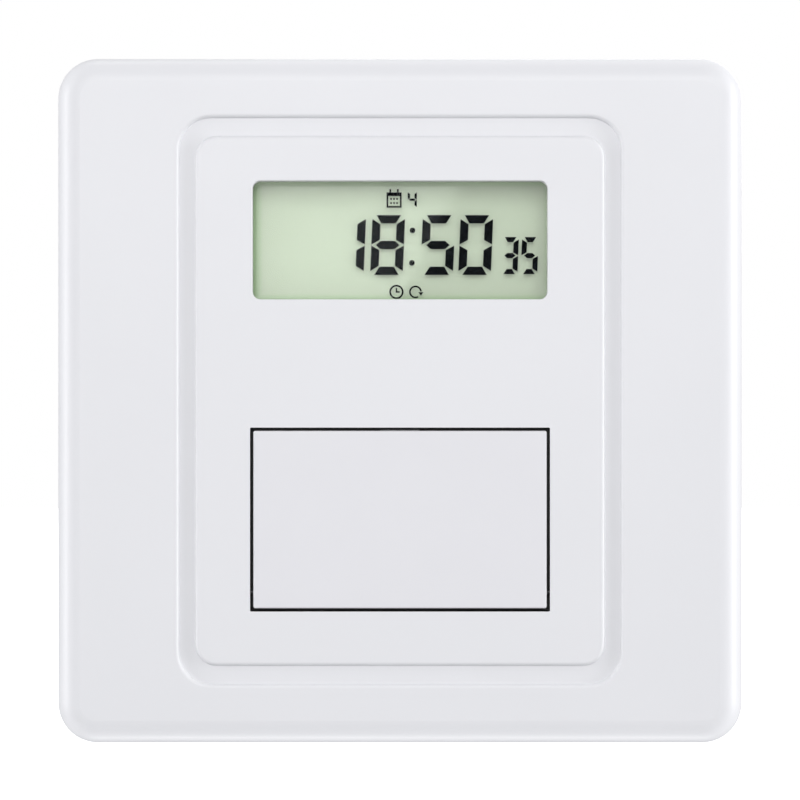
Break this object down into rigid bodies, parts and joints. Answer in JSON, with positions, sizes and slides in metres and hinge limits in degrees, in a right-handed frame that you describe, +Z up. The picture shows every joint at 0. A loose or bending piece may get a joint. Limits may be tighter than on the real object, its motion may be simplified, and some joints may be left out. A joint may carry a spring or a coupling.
{
  "type": "programmable timer",
  "caption": "Square flush wall timer switch with a display window, a hinged flap over its programming keys, and a relay and rising-cage screw terminals in a stepped rear box.",
  "frame": {"origin": "midway between the two wall screws, on the wall plane", "axes": "+X to the right seen from the front, +Y into the wall, +Z up"},
  "size_m": [0.086, 0.041, 0.086],
  "materials": {
    "cover_white": "smooth satin moulding",
    "flap_white": "smooth satin moulding",
    "window_clear": "clear polished acrylic",
    "film_grey": "grey-green polarising film",
    "lcd_glass": "thin display glass",
    "lcd_reflective": "diffuse grey-green reflector",
    "holder_black": "fine moulded texture",
    "contact_rubber": "soft striped contact rubber",
    "board_green": "solder mask over copper",
    "screw_zinc": "zinc plated",
    "switch_steel": "stamped cover",
    "plunger_black": "moulded",
    "key_grey": "matte silicone",
    "package_black": "fine moulded epoxy",
    "can_bright": "drawn can",
    "chip_ceramic": "fired ceramic",
    "frame_white": "fine moulded texture",
    "box_grey": "fine moulded texture",
    "relay_blue": "moulded",
    "relay_black": "moulded",
    "iron_plated": "nickel plated iron",
    "winding_copper": "enamelled copper wire",
    "contact_brass": "rolled strip",
    "capacitor_yellow": "epoxy filled box",
    "sleeve_black": "shrunk sleeve",
    "disc_blue": "dipped coating",
    "resistor_beige": "lacquered body",
    "terminal_grey": "glass-filled moulding",
    "clamp_steel": "zinc plated"
  },
  "bodies": {
    "base": {"board_fuse": "package_black", "frame_screws": "screw_zinc", "mounting_frame": "frame_white", "pin_header": "package_black", "power_board": "board_green", "rear_box": "box_grey", "rectifier_diodes": "package_black", "relay_base": "relay_black", "relay_bobbin": "relay_black", "relay_case": "relay_blue", "relay_contacts": "contact_brass", "relay_winding": "winding_copper", "relay_yoke": "iron_plated", "resistors": "resistor_beige", "smoothing_capacitors": "sleeve_black", "suppressor_capacitor": "capacitor_yellow", "surge_disc": "disc_blue", "terminal_bars": "contact_brass", "terminal_block": "terminal_grey"},
    "front": {"front_cover": "cover_white", "display_lens": "window_clear", "lcd_front_polariser": "film_grey", "lcd_front_glass": "lcd_glass", "lcd_rear_glass": "lcd_glass", "lcd_reflector": "lcd_reflective", "lcd_holder": "holder_black", "zebra_strip": "contact_rubber", "display_board": "board_green", "display_board_screws": "screw_zinc", "tact_switches": "switch_steel", "controller_chip": "package_black", "clock_crystal": "can_bright", "backup_cell": "can_bright", "chip_parts": "chip_ceramic", "board_socket": "package_black"},
    "flap": {"flap": "flap_white"},
    "key_clock": {"key_clock": "key_grey", "plunger_clock": "plunger_black"},
    "key_program": {"key_program": "key_grey", "plunger_program": "plunger_black"},
    "key_day": {"key_day": "key_grey", "plunger_day": "plunger_black"},
    "key_hour": {"key_hour": "key_grey", "plunger_hour": "plunger_black"},
    "key_minute": {"key_minute": "key_grey", "plunger_minute": "plunger_black"},
    "key_cancel": {"key_cancel": "key_grey", "plunger_cancel": "plunger_black"},
    "key_mode": {"key_mode": "key_grey", "plunger_mode": "plunger_black"},
    "armature": {"relay_armature": "iron_plated", "relay_leaf": "contact_brass"},
    "screw_1": {"terminal_screw_1": "clamp_steel"},
    "cage_1": {"terminal_cage_1": "clamp_steel"},
    "screw_2": {"terminal_screw_2": "clamp_steel"},
    "cage_2": {"terminal_cage_2": "clamp_steel"},
    "screw_3": {"terminal_screw_3": "clamp_steel"},
    "cage_3": {"terminal_cage_3": "clamp_steel"},
    "screw_4": {"terminal_screw_4": "clamp_steel"},
    "cage_4": {"terminal_cage_4": "clamp_steel"}
  },
  "joints": [
    {"name": "cover_pull_off", "type": "slide", "parent": "base", "child": "front", "axis": [0, -1, 0], "range_m": [0, 0.03]},
    {"name": "flap_open", "type": "hinge", "parent": "front", "child": "flap", "pos_m": [0, -0.012, -0.02395], "axis": [1, 0, 0], "range_deg": [0, 100]},
    {"name": "key_clock_press", "type": "slide", "parent": "front", "child": "key_clock", "axis": [0, 1, 0], "range_m": [0, 0.0003], "stiffness_N_per_m": 800, "springref_m": -0.001},
    {"name": "key_program_press", "type": "slide", "parent": "front", "child": "key_program", "axis": [0, 1, 0], "range_m": [0, 0.0003], "stiffness_N_per_m": 800, "springref_m": -0.001},
    {"name": "key_day_press", "type": "slide", "parent": "front", "child": "key_day", "axis": [0, 1, 0], "range_m": [0, 0.0003], "stiffness_N_per_m": 800, "springref_m": -0.001},
    {"name": "key_hour_press", "type": "slide", "parent": "front", "child": "key_hour", "axis": [0, 1, 0], "range_m": [0, 0.0003], "stiffness_N_per_m": 800, "springref_m": -0.001},
    {"name": "key_minute_press", "type": "slide", "parent": "front", "child": "key_minute", "axis": [0, 1, 0], "range_m": [0, 0.0003], "stiffness_N_per_m": 800, "springref_m": -0.001},
    {"name": "key_cancel_press", "type": "slide", "parent": "front", "child": "key_cancel", "axis": [0, 1, 0], "range_m": [0, 0.0003], "stiffness_N_per_m": 800, "springref_m": -0.001},
    {"name": "key_mode_press", "type": "slide", "parent": "front", "child": "key_mode", "axis": [0, 1, 0], "range_m": [0, 0.0003], "stiffness_N_per_m": 800, "springref_m": -0.001},
    {"name": "relay_armature_rock", "type": "hinge", "parent": "base", "child": "armature", "pos_m": [-0.0126, 0.0162, 0.0141], "axis": [-1, 0, 0], "range_deg": [0, 2.9], "stiffness_Nm_per_rad": 0.02, "springref_deg": -5.73},
    {"name": "clamp_screw_1_turn", "type": "hinge", "parent": "base", "child": "screw_1", "pos_m": [-0.01125, 0.01, -0.0195], "axis": [0, -1, 0], "range_deg": [0, 2020]},
    {"name": "clamp_cage_1_rise", "type": "slide", "parent": "base", "child": "cage_1", "axis": [0, 1, 0], "range_m": [0, 0.0028]},
    {"name": "clamp_screw_2_turn", "type": "hinge", "parent": "base", "child": "screw_2", "pos_m": [-0.00375, 0.01, -0.0195], "axis": [0, -1, 0], "range_deg": [0, 2020]},
    {"name": "clamp_cage_2_rise", "type": "slide", "parent": "base", "child": "cage_2", "axis": [0, 1, 0], "range_m": [0, 0.0028]},
    {"name": "clamp_screw_3_turn", "type": "hinge", "parent": "base", "child": "screw_3", "pos_m": [0.00375, 0.01, -0.0195], "axis": [0, -1, 0], "range_deg": [0, 2020]},
    {"name": "clamp_cage_3_rise", "type": "slide", "parent": "base", "child": "cage_3", "axis": [0, 1, 0], "range_m": [0, 0.0028]},
    {"name": "clamp_screw_4_turn", "type": "hinge", "parent": "base", "child": "screw_4", "pos_m": [0.01125, 0.01, -0.0195], "axis": [0, -1, 0], "range_deg": [0, 2020]},
    {"name": "clamp_cage_4_rise", "type": "slide", "parent": "base", "child": "cage_4", "axis": [0, 1, 0], "range_m": [0, 0.0028]}
  ],
  "couplings": [
    {"joint": "clamp_screw_1_turn", "follows": "clamp_cage_1_rise", "rad_per_m": 12566},
    {"joint": "clamp_screw_2_turn", "follows": "clamp_cage_2_rise", "rad_per_m": 12566},
    {"joint": "clamp_screw_3_turn", "follows": "clamp_cage_3_rise", "rad_per_m": 12566},
    {"joint": "clamp_screw_4_turn", "follows": "clamp_cage_4_rise", "rad_per_m": 12566}
  ]
}
